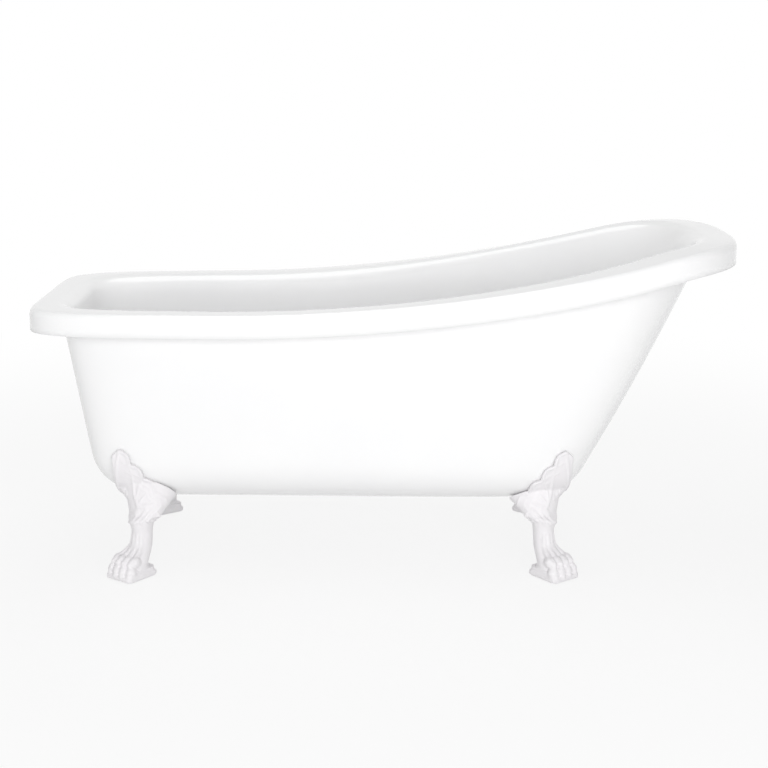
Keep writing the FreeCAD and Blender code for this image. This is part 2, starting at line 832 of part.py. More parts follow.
def pocketed(body, name, draw, plane="XY_Plane", both_ways=True):
    """Cut right through a body with whatever draw puts in the sketch."""
    DOCUMENT.recompute()
    before = body.Shape.Volume
    sketch = new_sketch(body, name + "_sketch", plane)
    draw(sketch)
    cut = body.newObject("PartDesign::Pocket", name)
    cut.Profile = sketch
    cut.Type = "ThroughAll"
    cut.Midplane = both_ways
    DOCUMENT.recompute()
    if not body.Shape.Volume < before:
        raise RuntimeError(f"{name} cut nothing")
    return cut


def padded(body, name, draw, height, plane="XY_Plane"):
    """Raise whatever draw puts in the sketch by a height."""
    sketch = new_sketch(body, name + "_sketch", plane)
    draw(sketch)
    pad = body.newObject("PartDesign::Pad", name)
    pad.Profile = sketch
    bind(pad, "Length", height)
    return pad


def rectangle(sketch, low_x, high_x, low_y, high_y):
    """A rectangle between four sizes."""
    draw_polygon(sketch, [(low_x, low_y), (high_x, low_y), (high_x, high_y), (low_x, high_y)])


def make_board():
    """The board that stiffens the well's floor, with the waste's hole through it."""
    low_x = bolt_line(ENDS["low"]) - size("board_overhang")
    high_x = bolt_line(ENDS["high"]) + size("board_overhang")
    half = size("board_half_width")
    hole = size("backnut_flats") * 1.2 + size("access_clearance") * 2
    body = new_body("base_board")

    def outline(sketch):
        rectangle(sketch, low_x, high_x, -half, half)

    pad = padded(body, "board_pad", outline, size("board_thickness"))
    DOCUMENT.recompute()
    edges = enumerate(pad.Shape.Edges, start=1)
    upright = [f"Edge{index}" for index, edge in edges if abs(edge.tangentAt(edge.FirstParameter).z) > 0.9]
    fillet = body.newObject("PartDesign::Fillet", "board_corners")
    fillet.Base = (pad, upright)
    bind(fillet, "Radius", size("board_corner_round"))
    pocketed(body, "board_waste_hole", lambda sketch: draw_circle(sketch, size("waste_x"), 0, hole))
    place(body, z=BOARD_BOTTOM)


def make_channel(end_name):
    """A steel channel on the skin's floor, open upwards, that ties two feet together."""
    half = size("channel_width") / 2
    wall = size("channel_wall")
    height = size("channel_height")
    body = new_body("cross_channel_" + end_name)

    def section(sketch):
        corners = [
            (-half, 0), (half, 0), (half, height), (half - wall, height),
            (half - wall, wall), (wall - half, wall), (wall - half, height), (-half, height),
        ]
        draw_polygon(sketch, corners)

    pad = padded(body, "channel_pad_" + end_name, section, size("channel_length"), "XZ_Plane")
    pad.Midplane = True

    def holes(sketch):
        diameter = size("bolt_diameter") + size("bolt_hole_clearance") * 2
        for side in SIDES.values():
            for step in (-1, 1):
                spot = size("bolt_side") * side + size("bolt_pitch") * (step / 2)
                draw_circle(sketch, 0, spot, diameter)

    pocketed(body, "channel_holes_" + end_name, holes)
    place(body, bolt_line(ENDS[end_name]), 0, SKIN_FLOOR)


def hexagon(name, flats, height):
    """A hexagonal prism measured across its flats."""
    prism = DOCUMENT.addObject("Part::Prism", name)
    prism.Polygon = 6
    bind(prism, "Circumradius", flats / math.sqrt(3))
    bind(prism, "Height", height)
    return prism


def cylinder(name, diameter, height):
    """A round bar."""
    bar = DOCUMENT.addObject("Part::Cylinder", name)
    bind(bar, "Radius", diameter / 2)
    bind(bar, "Height", height)
    return bar


def cut(name, base, tool):
    """One primitive less another."""
    result = DOCUMENT.addObject("Part::Cut", name)
    result.Base = base
    result.Tool = tool
    return result


def bolt_spots():
    """Names and centres of the eight foot bolts, tied to the sheet."""
    spots = []
    for end_name, end in ENDS.items():
        for side_name, side in SIDES.items():
            for step in (-1, 1):
                y = size("bolt_side") * side + size("bolt_pitch") * (step / 2)
                label = f"{end_name}_{side_name}_{'inner' if step * side < 0 else 'outer'}"
                spots.append((label, bolt_line(end), y))
    return spots


def make_group(name, build):
    """Identical fasteners at every bolt place, as separate solids of one node."""
    copies = []
    for label, x, y in bolt_spots():
        copies.append(build(f"{name}_{label}", x, y))
    group = DOCUMENT.addObject("Part::Compound", name)
    group.Label = name
    group.Links = copies


def build_bolt(label, x, y):
    """A hexagon bolt, head down, through tongue, skin and channel into its nut."""
    washer = TONGUE_BOTTOM - size("washer_thickness")
    head = hexagon(label + "_head", size("bolt_head_flats"), size("bolt_head_height"))
    place(head, x, y, washer - size("bolt_head_height"))
    tip = SKIN_FLOOR + size("channel_wall") + size("weld_nut_height")
    shank = cylinder(label + "_shank", size("bolt_diameter"), tip - washer)
    place(shank, x, y, washer)
    bolt = DOCUMENT.addObject("Part::Fuse", label)
    bolt.Base = head
    bolt.Tool = shank
    return bolt


def build_washer(label, x, y):
    """A flat washer under a bolt head."""
    level = TONGUE_BOTTOM - size("washer_thickness")
    disc = cylinder(label + "_disc", size("washer_diameter"), size("washer_thickness"))
    hole_size = size("bolt_diameter") + size("bolt_hole_clearance") * 2
    hole = cylinder(label + "_hole", hole_size, size("washer_thickness"))
    for piece in (disc, hole):
        place(piece, x, y, level)
    return cut(label, disc, hole)


def build_weld_nut(label, x, y):
    """A nut welded to the channel's web."""
    level = SKIN_FLOOR + size("channel_wall")
    blank = hexagon(label + "_blank", size("weld_nut_flats"), size("weld_nut_height"))
    thread = cylinder(label + "_thread", size("bolt_diameter") + size("bolt_fit") * 2, size("weld_nut_height"))
    for piece in (blank, thread):
        place(piece, x, y, level)
    return cut(label, blank, thread)


def make_leveller(suffix, x, y):
    """Pad, screw and locknut in the sole of one paw."""
    pad_radius = size("pad_diameter") / 2
    socket = size("screw_diameter") / 2 + size("screw_fit")
    edge = size("pad_thickness") / 4
    profile = [
        (0, 0), (pad_radius - edge, 0), (pad_radius, edge), (pad_radius, PAD_TOP),
        (socket, PAD_TOP), (socket, SCREW_BOTTOM), (0, SCREW_BOTTOM),
    ]
    turned("leveller_pad_" + suffix, profile, x, y)
    radius = size("screw_diameter") / 2
    chamfer = size("screw_pitch")
    length = size("screw_length")
    profile = [(0, 0), (radius, 0), (radius, length - chamfer), (radius - chamfer, length), (0, length)]
    turned("leveller_screw_" + suffix, profile, x, y, SCREW_BOTTOM)
    blank = hexagon("locknut_blank_" + suffix, size("locknut_flats"), size("locknut_height"))
    hole_size = size("screw_diameter") + size("screw_fit") * 2
    hole = cylinder("locknut_thread_" + suffix, hole_size, size("locknut_height"))
    for piece in (blank, hole):
        place(piece, x, y, LOCKNUT_BOTTOM)
    cut("leveller_locknut_" + suffix, blank, hole)


def make_waste():
    """Push-open waste: flange and tube, gaskets, backnut, cartridge, stem, cap and its seal."""
    x = size("waste_x")
    tube = size("waste_thread") / 2
    bore = size("waste_bore") / 2
    flange = size("flange_diameter") / 2
    bottom = size("skin_bottom") - size("waste_drop")
    under_flange = FLANGE_TOP - size("flange_thickness")
    under_floor = BOARD_TOP - size("gasket_thickness")
    shank = size("waste_shank") / 2
    groove = tube - size("waste_runout") / 2
    shank_bottom = under_floor - size("backnut_height") - size("waste_runout") / 2
    groove_bottom = shank_bottom - size("waste_runout")
    body = turned("waste_flange", [
        (bore, bottom), (tube, bottom), (tube, groove_bottom), (groove, groove_bottom),
        (groove, shank_bottom), (shank, shank_bottom), (shank, under_flange), (flange, under_flange),
        (flange, FLANGE_TOP - size("flange_thickness") / 2), (flange - size("flange_thickness") / 2, FLANGE_TOP),
        (bore, FLANGE_TOP),
    ], x)
    hub = size("cartridge_hex") / 2
    bar = size("strainer_bar") / 2

    def cross(sketch):
        reach = (bore + tube) / 2
        corners = [
            (bar, hub), (bar, reach), (-bar, reach), (-bar, hub),
            (-hub, hub), (-hub, bar), (-reach, bar), (-reach, -bar), (-hub, -bar), (-hub, -hub),
            (-bar, -hub), (-bar, -reach), (bar, -reach), (bar, -hub),
            (hub, -hub), (hub, -bar), (reach, -bar), (reach, bar), (hub, bar), (hub, hub),
        ]
        draw_polygon(sketch, corners)
        draw_circle(sketch, 0, 0, size("cartridge_diameter") + size("stem_fit") * 2)

    strainer = padded(body, "waste_cross", cross, size("strainer_thickness"))
    cross_sketch = strainer.Profile[0]
    bind(cross_sketch, ".AttachmentOffset.Base.z", CROSS_TOP - size("strainer_thickness"))
    body.Tip = strainer
    inner = shank + size("waste_clearance") / 4
    ring_profile = [(inner, 0), (flange, 0), (flange, size("gasket_thickness")), (inner, size("gasket_thickness"))]
    turned("waste_gasket_top", ring_profile, x, 0, WELL_FLOOR)
    turned("waste_gasket_under", ring_profile, x, 0, under_floor)
    blank = hexagon("backnut_blank", size("backnut_flats"), size("backnut_height"))
    thread = cylinder("backnut_thread", inner * 2, size("backnut_height"))
    for piece in (blank, thread):
        place(piece, x, 0, under_floor - size("backnut_height"))
    cut("waste_backnut", blank, thread)
    stem = size("stem_diameter") / 2
    sleeve = size("cartridge_diameter") / 2
    guide = stem + size("stem_fit")
    length = size("cartridge_length")
    collar = size("cartridge_collar")
    collar_edge = size("cartridge_hex") / 2 - size("stem_fit")
    turned("plug_cartridge", [
        (guide, 0), (sleeve, 0), (sleeve, length - collar), (collar_edge, length - collar),
        (collar_edge, length), (guide, length),
    ], x, 0, CROSS_TOP - length + collar)
    cap = size("cap_diameter") / 2
    boss = size("boss_diameter") / 2
    stem_bottom = CROSS_TOP + collar - length + size("stem_travel") / 2
    turned("plug_stem", [
        (0, stem_bottom), (stem, stem_bottom), (stem, CAP_BASE), (0, CAP_BASE),
    ], x)
    seal_inner = size("waste_bore") / 2 - size("seal_width")
    seal_outer = size("waste_bore") / 2 - size("cap_gap")
    seal_top = CAP_BASE
    seal_bottom = CAP_BASE - size("seal_thickness")
    turned("plug_seal", [
        (boss, seal_bottom), (seal_outer, seal_bottom), (seal_outer, seal_top), (boss, seal_top),
    ], x)
    crown = size("cap_thickness") + size("cap_crown")
    turned("plug_cap", [
        (0, CAP_BASE), (cap, CAP_BASE), (cap, CAP_BASE + size("cap_thickness") * 0.5),
        (cap - size("cap_thickness") * 0.5, CAP_BASE + size("cap_thickness")),
        (seal_inner, CAP_BASE + crown * 0.93), (0, CAP_BASE + crown),
    ], x)


# ---------------------------------------------------------------- assembly

add_shape("basin", basin_shape())
add_shape("outer_skin", skin_shape())
make_board()
for end_name, end in ENDS.items():
    make_channel(end_name)
    front_foot = foot_shape(end)
    feet = {"front": front_foot, "back": front_foot.mirror(Vector(), Vector(0, 1, 0))}
    for side_name, side in SIDES.items():
        suffix = f"{end_name}_{side_name}"
        add_shape("foot_" + suffix, feet[side_name])
        make_leveller(suffix, end, size("paw_side") * side)
make_group("foot_bolts", build_bolt)
make_group("foot_washers", build_washer)
make_group("weld_nuts", build_weld_nut)
make_waste()
DOCUMENT.recompute()

# ---------------------------------------------------------------- checks and output


def is_sub_part(thing):
    """Whether an object is a finished piece, used by no other object's shape."""
    if thing.TypeId == "PartDesign::Body":
        return True
    if not thing.TypeId.startswith("Part::"):
        return False
    return not any(user.TypeId.startswith("Part::") for user in thing.InList)


def check_and_export():
    """Stop on any failed object, then write one file for each sub-part."""
    for thing in DOCUMENT.Objects:
        if "Invalid" in thing.State or "Error" in thing.State:
            raise RuntimeError(f"{thing.Name} failed: {thing.State}")
    os.makedirs("parts", exist_ok=True)
    for thing in DOCUMENT.Objects:
        if not is_sub_part(thing):
            continue
        if thing.Shape.isNull() or not thing.Shape.isValid():
            raise RuntimeError(f"{thing.Label} has no valid shape")
        thing.Shape.exportStep(f"parts/{thing.Label}.step")


check_and_export()
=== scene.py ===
"""Looks of the slipper bathtub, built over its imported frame. Metres, +Z up.

The low end with the waste points along -X and the raised end along +X. "front" is -Y.
"""

import json
import math

import bmesh
import bpy
from mathutils import Matrix, Vector


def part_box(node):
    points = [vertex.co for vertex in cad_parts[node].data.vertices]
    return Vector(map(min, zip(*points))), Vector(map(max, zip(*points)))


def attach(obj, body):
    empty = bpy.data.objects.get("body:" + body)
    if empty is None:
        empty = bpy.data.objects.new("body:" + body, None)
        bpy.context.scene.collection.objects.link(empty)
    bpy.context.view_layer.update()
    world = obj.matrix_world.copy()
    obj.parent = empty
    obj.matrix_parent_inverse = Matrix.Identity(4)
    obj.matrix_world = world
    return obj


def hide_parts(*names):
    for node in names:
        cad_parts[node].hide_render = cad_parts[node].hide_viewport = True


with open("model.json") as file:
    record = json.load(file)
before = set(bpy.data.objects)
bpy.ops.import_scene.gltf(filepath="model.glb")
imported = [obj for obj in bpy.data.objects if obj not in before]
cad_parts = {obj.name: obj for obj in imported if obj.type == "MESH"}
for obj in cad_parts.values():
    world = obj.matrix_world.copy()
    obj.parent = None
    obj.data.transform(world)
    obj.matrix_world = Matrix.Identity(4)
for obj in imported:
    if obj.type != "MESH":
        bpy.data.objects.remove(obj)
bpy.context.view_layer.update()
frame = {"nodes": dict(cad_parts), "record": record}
NODES = frame["nodes"]


def placed(name, data):
    """A new object in the scene."""
    thing = bpy.data.objects.new(name, data)
    bpy.context.scene.collection.objects.link(thing)
    return thing


def shade_smooth(mesh):
    for polygon in mesh.polygons:
        polygon.use_smooth = True


# ---------------------------------------------------------------- shells

# the rim from above: its length, half its width, and how much that grows and shrinks at the ends
RIM_LENGTH, RIM_HALF_WIDTH, RIM_TAPER = 1.700, 0.372, 0.052

# powers of the superellipse at the low end, and at the raised end's rim and floor
FOOT_POWER, HEAD_POWER, FLOOR_HEAD_POWER = 8.0, 3.0, 6.0

# the slipper curve: low level, climb, and the places in X where it starts and begins to flatten
RIM_HEIGHT, SLIPPER_RISE, RISE_START, RISE_TURN = 0.660, 0.150, -0.420, 0.645

RIM_SKIRT, RIM_EDGE_ROUND = 0.055, 0.016
SKIRT_MIDDLE, LIP_DROP = RIM_SKIRT * 0.7, 0.001
FLOOR_TAPER = 0.008
BASIN_WALL, SKIN_WALL, BOND_LINE = 0.006, 0.005, 0.001
SKIN_FLANGE_EDGE = 0.024
WASTE_X = -0.430

# floor: level of the floor's upper face. foot, head, side: reach of the walls at floor level,
# at the low end, the raised end and half-way between them.
# ledge: how far in from the rim's outer face the walls end. round, shoulder: their radii at the
# floor and at the top. under_rim: how far below the rim's top they end. hole: radius at the waste.
BASIN = {
    "floor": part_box("basin")[0].z + BASIN_WALL,
    "foot": 0.683, "head": 0.428, "side": 0.222,
    "ledge": 0.088, "round": 0.110, "shoulder": 0.036,
    "under_rim": 0.0, "hole": 0.0247,
}
SKIN = {
    "floor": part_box("outer_skin")[0].z + SKIN_WALL,
    "foot": 0.700, "head": 0.452, "side": 0.250,
    "ledge": 0.068, "round": 0.135, "shoulder": 0.010,
    "under_rim": BASIN_WALL + BOND_LINE, "hole": 0.0339,
}

# how finely the shells are divided: round the tub, and along each stretch of their section
RING_STEPS = 288
FLOOR_STEPS, CORNER_STEPS, WALL_STEPS, SHOULDER_STEPS = 10, 14, 16, 10
RIM_TOP_STEPS, RIM_EDGE_STEPS = 4, 10


class WallSection:
    """One wall seen edge on: floor, rounded corner, straight lean and rounded shoulder.

    A point of it is (reach, level), at a share of the stretch and so far behind its face.
    """

    def __init__(self, shell, floor_reach, rim_reach, rim_level):
        lean = math.atan2(rim_reach - floor_reach, rim_level - shell["floor"])
        self.turn = math.pi / 2 - lean
        tangent = math.tan(self.turn / 2)
        self.low_round = shell["round"]
        self.high_round = shell["shoulder"]
        self.low_centre = (floor_reach - self.low_round * tangent, shell["floor"] + self.low_round)
        self.high_centre = (rim_reach + self.high_round * tangent, rim_level - self.high_round)

    def corner(self, share, behind):
        radius = self.low_round + behind
        angle = share * self.turn
        reach, level = self.low_centre
        return (reach + radius * math.sin(angle), level - radius * math.cos(angle))

    def shoulder(self, share, behind):
        radius = self.high_round - behind
        angle = (1 - share) * self.turn
        reach, level = self.high_centre
        return (reach - radius * math.sin(angle), level + radius * math.cos(angle))

    def wall(self, share, behind):
        low = self.corner(1, behind)
        high = self.shoulder(0, behind)
        return (low[0] + (high[0] - low[0]) * share, low[1] + (high[1] - low[1]) * share)


def squareness(angle, height=1.0):
    """How far a superellipse bulges past an ellipse at this angle round the tub.

    height runs from 0 at the floor to 1 at the rim.
    """
    ease = height * height * (3 - 2 * height)
    head_power = FLOOR_HEAD_POWER + (HEAD_POWER - FLOOR_HEAD_POWER) * ease
    power = head_power + (FOOT_POWER - head_power) * (1 - math.cos(angle)) / 2
    return (abs(math.cos(angle)) ** power + abs(math.sin(angle)) ** power) ** (-1 / power)


def rim_level(angle):
    """Rim top at this angle round the tub, with the slipper curve."""
    end = RIM_LENGTH / 2
    x = end * math.cos(angle) * squareness(angle)
    slope = 2 * SLIPPER_RISE / (end - RISE_START)
    climb = min(max(x, RISE_START), RISE_TURN) - RISE_START
    over = min(max(x, RISE_TURN), end) - RISE_TURN
    rise = slope * climb ** 2 / (2 * (RISE_TURN - RISE_START))
    return RIM_HEIGHT + rise + slope * over - slope * over ** 2 / (2 * (end - RISE_TURN))


def rim_side(angle):
    """Half the rim's width, which grows towards the raised end."""
    return RIM_HALF_WIDTH + RIM_TAPER * math.cos(angle)


def rim_point(angle, inset, drop):
    """A point of the rolled rim, so far in from its outer face and so far below its top."""
    bulge = squareness(angle)
    x = (RIM_LENGTH / 2 - inset) * math.cos(angle) * bulge
    y = (rim_side(angle) - inset) * math.sin(angle) * bulge
    return Vector((x, y, rim_level(angle) - drop))


def wall_point(shell, angle, height, stretch, share, behind):
    """A point of a shell, blended from its low end, raised end and side sections.

    stretch is the method of WallSection that gives the point on each of them.
    """
    top = rim_level(angle) - shell["under_rim"]
    end_rim = RIM_LENGTH / 2 - shell["ledge"]
    side_rim = rim_side(angle) - shell["ledge"]
    side_floor = shell["side"] + FLOOR_TAPER * math.cos(angle)
    foot = stretch(WallSection(shell, shell["foot"], end_rim, top), share, behind)
    head = stretch(WallSection(shell, shell["head"], end_rim, top), share, behind)
    side = stretch(WallSection(shell, side_floor, side_rim, top), share, behind)
    across = math.cos(angle)
    bulge = squareness(angle, height)
    end_level = (head[1] * (1 + across) + foot[1] * (1 - across)) / 2
    level = side[1] + (end_level - side[1]) * across ** 2
    x = (head[0] - foot[0]) / 2 + (head[0] + foot[0]) / 2 * across * bulge
    return Vector((x, side[0] * math.sin(angle) * bulge, level))


def floor_points(shell, edge):
    """Points of the flat floor from the waste's hole out to one point of its edge."""
    centre = Vector((WASTE_X, 0, edge.z))
    start = centre + (edge - centre).normalized() * shell["hole"]
    return [start.lerp(edge, step / FLOOR_STEPS) for step in range(FLOOR_STEPS)]


def surface_column(shell, angle, behind):
    """One side of a shell from the waste's hole to the flat under or on the rim."""
    corner, wall, shoulder = WallSection.corner, WallSection.wall, WallSection.shoulder
    points = []
    for step in range(CORNER_STEPS + 1):
        points.append(wall_point(shell, angle, 0, corner, step / CORNER_STEPS, behind))
    points = floor_points(shell, points[0]) + points
    for step in range(1, WALL_STEPS + 1):
        height = step / WALL_STEPS
        points.append(wall_point(shell, angle, height, wall, height, behind))
    for step in range(1, SHOULDER_STEPS + 1):
        points.append(wall_point(shell, angle, 1, shoulder, step / SHOULDER_STEPS, behind))
    return points


def basin_column(angle):
    """The well's section: up its inside, over the rim, down the skirt and back underneath."""
    sides = []
    for behind in (0, BASIN_WALL):
        points = surface_column(BASIN, angle, behind)
        last = points[-1]
        edge = rim_point(angle, RIM_EDGE_ROUND, behind)
        points += [last.lerp(edge, step / RIM_TOP_STEPS) for step in range(1, RIM_TOP_STEPS)]
        radius = RIM_EDGE_ROUND - behind
        for step in range(RIM_EDGE_STEPS + 1):
            turn = math.pi / 2 * step / RIM_EDGE_STEPS
            inset = RIM_EDGE_ROUND - radius * math.sin(turn)
            drop = RIM_EDGE_ROUND - radius * math.cos(turn)
            points.append(rim_point(angle, inset, drop))
        points.append(rim_point(angle, behind, SKIRT_MIDDLE))
        points.append(rim_point(angle, behind, RIM_SKIRT - LIP_DROP))
        sides.append(points)
    lip = rim_point(angle, BASIN_WALL / 2, RIM_SKIRT)
    return sides[0] + [lip] + sides[1][::-1]


def skin_column(angle):
    """The outer skin's section, with its flange under the rim."""
    sides = []
    for behind in (0, SKIN_WALL):
        points = surface_column(SKIN, angle, behind)
        points.append(rim_point(angle, SKIN_FLANGE_EDGE, SKIN["under_rim"] + behind))
        sides.append(points)
    return sides[0] + sides[1][::-1]


def shell_object(name, column_at):
    """A shell swept round the tub, one closed column of points at each angle."""
    columns = [column_at(2 * math.pi * step / RING_STEPS) for step in range(RING_STEPS)]
    rows = len(columns[0])
    vertices = [point for column in columns for point in column]
    faces = []
    for column in range(RING_STEPS):
        near = column * rows
        far = (column + 1) % RING_STEPS * rows
        for row in range(rows):
            above = (row + 1) % rows
            faces.append((near + row, far + row, far + above, near + above))
    mesh = bpy.data.meshes.new(name)
    mesh.from_pydata(vertices, [], faces)
    work = bmesh.new()
    work.from_mesh(mesh)
    bmesh.ops.recalc_face_normals(work, faces=work.faces)
    work.to_mesh(mesh)
    work.free()
    shade_smooth(mesh)
    return placed(name, mesh)


# ---------------------------------------------------------------- a foot and places on it

PAW_SIDE = 0.264
PAW_X = {"low": -0.617, "high": 0.407}
TOE_OUT = math.radians(37)
PLATE_TIP_OUT, PLATE_REACH, PLATE_HEIGHT = 0.025, 0.116, 0.148
SKIN_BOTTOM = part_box("outer_skin")[0].z
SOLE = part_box("foot_low_front")[0].z

# the Y from which the plate's face is looked for, well in front of the tub
IN_FRONT = -1


class Foot:
    """One front foot: its solid from the frame, with places on it found from the front."""

    def __init__(self, end):
        self.out = -1 if end == "low" else 1
        self.solid = NODES[f"foot_{end}_front"]
        self.tip_x = PAW_X[end] + self.out * PLATE_TIP_OUT
        self.paw = Vector((PAW_X[end], -PAW_SIDE, 0))
        self.turn = self.out * TOE_OUT

    def on_plate(self, inward, level, proud):
        """A place on the plate's face, so far in from the tip and at this level."""
        start = Vector((self.tip_x - self.out * inward, IN_FRONT, level))
        hit, place, normal, _ = self.solid.ray_cast(start, Vector((0, 1, 0)))
        if not hit:
            return None
        return place + normal * proud

    def at_paw(self, across, forward, level):
        """A place given about the paw, toes forward."""
        x = across * math.cos(self.turn) + forward * math.sin(self.turn)
        y = across * math.sin(self.turn) - forward * math.cos(self.turn)
        return self.paw + Vector((x, y, level))


# ---------------------------------------------------------------- carving tools

BALL_COLUMNS, BALL_ROWS = 24, 16
BEAD_COLUMNS, BEAD_ROWS = 10, 7
BEAD_SPACING = 0.5


def taken_from(work):
    """Vertices and faces of a bmesh, which isn't needed after this."""
    vertices = [vertex.co.copy() for vertex in work.verts]
    faces = [[vertex.index for vertex in face.verts] for face in work.faces]
    work.free()
    return vertices, faces


def ball_template(columns, rows):
    """Vertices and faces of a ball of radius 1."""
    work = bmesh.new()
    bmesh.ops.create_uvsphere(work, u_segments=columns, v_segments=rows, radius=1)
    return taken_from(work)


def block_template(bevel, segments):
    """Vertices and faces of a cube of size 1 with rounded edges."""
    work = bmesh.new()
    bmesh.ops.create_cube(work, size=1)
    bmesh.ops.bevel(
        work, geom=work.edges[:], offset=bevel, segments=segments, affect="EDGES", profile=0.5,
    )
    return taken_from(work)


FINE_BALL = ball_template(BALL_COLUMNS, BALL_ROWS)
BEAD = ball_template(BEAD_COLUMNS, BEAD_ROWS)


def shape_at(centre, sizes, turn=0.0, lean=0.0):
    """Matrix that sizes a template, leans it forward, turns it about Z and moves it."""
    turned = Matrix.Translation(centre) @ Matrix.Rotation(turn, 4, "Z")
    return turned @ Matrix.Rotation(lean, 4, "X") @ Matrix.Diagonal((*sizes, 1))


class Carver:
    """Gathers the solid bits of a foot's carving into one mesh."""

    def __init__(self, base):
        self.vertices = [vertex.co.copy() for vertex in base.vertices]
        self.faces = [list(polygon.vertices) for polygon in base.polygons]

    def put(self, template, matrix):
        """Add a template, moved by a matrix."""
        start = len(self.vertices)
        self.vertices += [matrix @ vertex for vertex in template[0]]
        self.faces += [[start + index for index in face] for face in template[1]]

    def ridge(self, points, first_radius, last_radius):
        """A raised line along a smooth path, made of beads that overlap."""
        radii = tapered(first_radius, last_radius, len(points))
        for start, stop, from_radius, to_radius in zip(points, points[1:], radii, radii[1:]):
            spacing = BEAD_SPACING * min(from_radius, to_radius)
            count = max(1, int((stop - start).length / spacing))
            for step in range(count + 1):
                share = step / count
                radius = from_radius + (to_radius - from_radius) * share
                self.put(BEAD, shape_at(start.lerp(stop, share), (radius,) * 3))

    def mesh(self, name):
        """All of it as one mesh."""
        mesh = bpy.data.meshes.new(name)
        mesh.from_pydata(self.vertices, [], self.faces)
        return mesh


def tapered(first, last, count):
    """So many values, evenly spaced from the first to the last."""
    return [first + (last - first) * step / max(count - 1, 1) for step in range(count)]


def smooth_path(points, steps):
    """Points of a Catmull-Rom curve through the given points."""
    path = []
    padded = [points[0] * 2 - points[1]] + points + [points[-1] * 2 - points[-2]]
    for before, start, stop, after in zip(padded, padded[1:], padded[2:], padded[3:]):
        for step in range(steps):
            t = step / steps
            a = start * 2
            b = (stop - before) * t
            c = (before * 2 - start * 5 + stop * 4 - after) * t * t
            d = (after - before + (start - stop) * 3) * t ** 3
            path.append((a + b + c + d) / 2)
    path.append(points[-1])
    return path


# ---------------------------------------------------------------- carving of the plate and hip

PATH_STEPS = 6

# Marks on the plate are (inward from its tip, level), and ridges are given by their radii. Rises
# are above the skin's bottom, where the plate's lower edge is. SUNK is how far a ridge's middle
# lies behind the plate's face.
SUNK = 0.001
SCALLOPS = 4
SCALLOP_START = Vector((0.002, -0.004))
SCALLOP_CREST = Vector((0.0055, 0.0045))
SCALLOP_STOP = Vector((-0.003, 0.001))
EDGE_ROLL = 0.0036
ARC_SHRINKS, ARC_ROLL = (0.20, 0.38), 0.0024
FAN_ROOT_SHARE, FAN_ROOT_RISE, FAN_SHRINK = 0.36, 0.004, 0.46
FAN_BEND = Vector((-0.004, -0.004))
FAN_THICK, FAN_THIN = 0.0056, 0.0030
SPINE = [(-0.008, -0.004), (-0.010, 0.055), (-0.006, 0.105), (0.001, PLATE_HEIGHT - 0.008)]
SPINE_THICK, SPINE_THIN = 0.0042, 0.0034

# first lobe's marks as (inward, rise), each with its step to the next lobe
LOBES = 4
LOBE_MARKS = [
    ((0.016, -0.040), (0.017, 0.004)),
    ((0.034, -0.026), (0.017, 0.006)),
    ((0.044, -0.004), (0.018, 0.002)),
]
LOBE_THICK, LOBE_THIN, LOBE_SUNK = 0.0050, 0.0034, 0.0012

# the curl starts and turns by these degrees, and its radius shrinks a little at each step
CURL_STEPS, CURL_FROM, CURL_TURN = 9, -120, 42
CURL_INWARD, CURL_RISE = 0.082, -0.018
CURL_RADIUS, CURL_SHRINK = 0.015, 0.0013
CURL_THICK, CURL_THIN, CURL_SUNK = 0.0044, 0.0026, 0.0008

# the ridge that joins plate and leg: from behind the plate's face down the leg
SHOULDER_INWARD, SHOULDER_RISE, SHOULDER_SUNK = 0.006, 0.030, 0.016
SHOULDER_AT_PAW = [(-0.004, -0.044, 0.172), (-0.002, -0.040, 0.150), (-0.001, -0.036, 0.128)]
SHOULDER_TOP_RADIUS, SHOULDER_LOW_RADIUS = 0.0230, 0.0240


def carve_line(foot, carver, marks, thick, thin, sunk=SUNK):
    """A ridge over the plate, along a smooth line through (inward, level) marks."""
    flat = smooth_path([Vector((inward, level, 0)) for inward, level in marks], PATH_STEPS)
    places = [foot.on_plate(spot.x, spot.y, -sunk) for spot in flat]
    places = [place for place in places if place is not None]
    if len(places) > 1:
        carver.ridge(places, thick, thin)


def carve_plate(foot, carver):
    """Rolled scalloped edge, arcs that follow it, ribs that fan out from the hip and a spine."""
    root = Vector((PLATE_REACH * FAN_ROOT_SHARE, SKIN_BOTTOM + FAN_ROOT_RISE))
    for bump in range(SCALLOPS):
        start, crest, stop = [
            Vector((PLATE_REACH * share, SKIN_BOTTOM + PLATE_HEIGHT * (1 - share)))
            for share in (bump / SCALLOPS, (bump + 0.5) / SCALLOPS, (bump + 1) / SCALLOPS)
        ]
        crest += SCALLOP_CREST
        arc = [start + SCALLOP_START, crest, stop + SCALLOP_STOP]
        carve_line(foot, carver, arc, EDGE_ROLL, EDGE_ROLL)
        for shrink in ARC_SHRINKS:
            inner = [spot.lerp(root, shrink) for spot in arc]
            carve_line(foot, carver, inner, ARC_ROLL, ARC_ROLL)
        tip = crest.lerp(root, FAN_SHRINK)
        middle = (root + tip) / 2 + FAN_BEND
        carve_line(foot, carver, [root, middle, tip], FAN_THICK, FAN_THIN)
    spine = [(inward, SKIN_BOTTOM + rise) for inward, rise in SPINE]
    carve_line(foot, carver, spine, SPINE_THICK, SPINE_THIN)


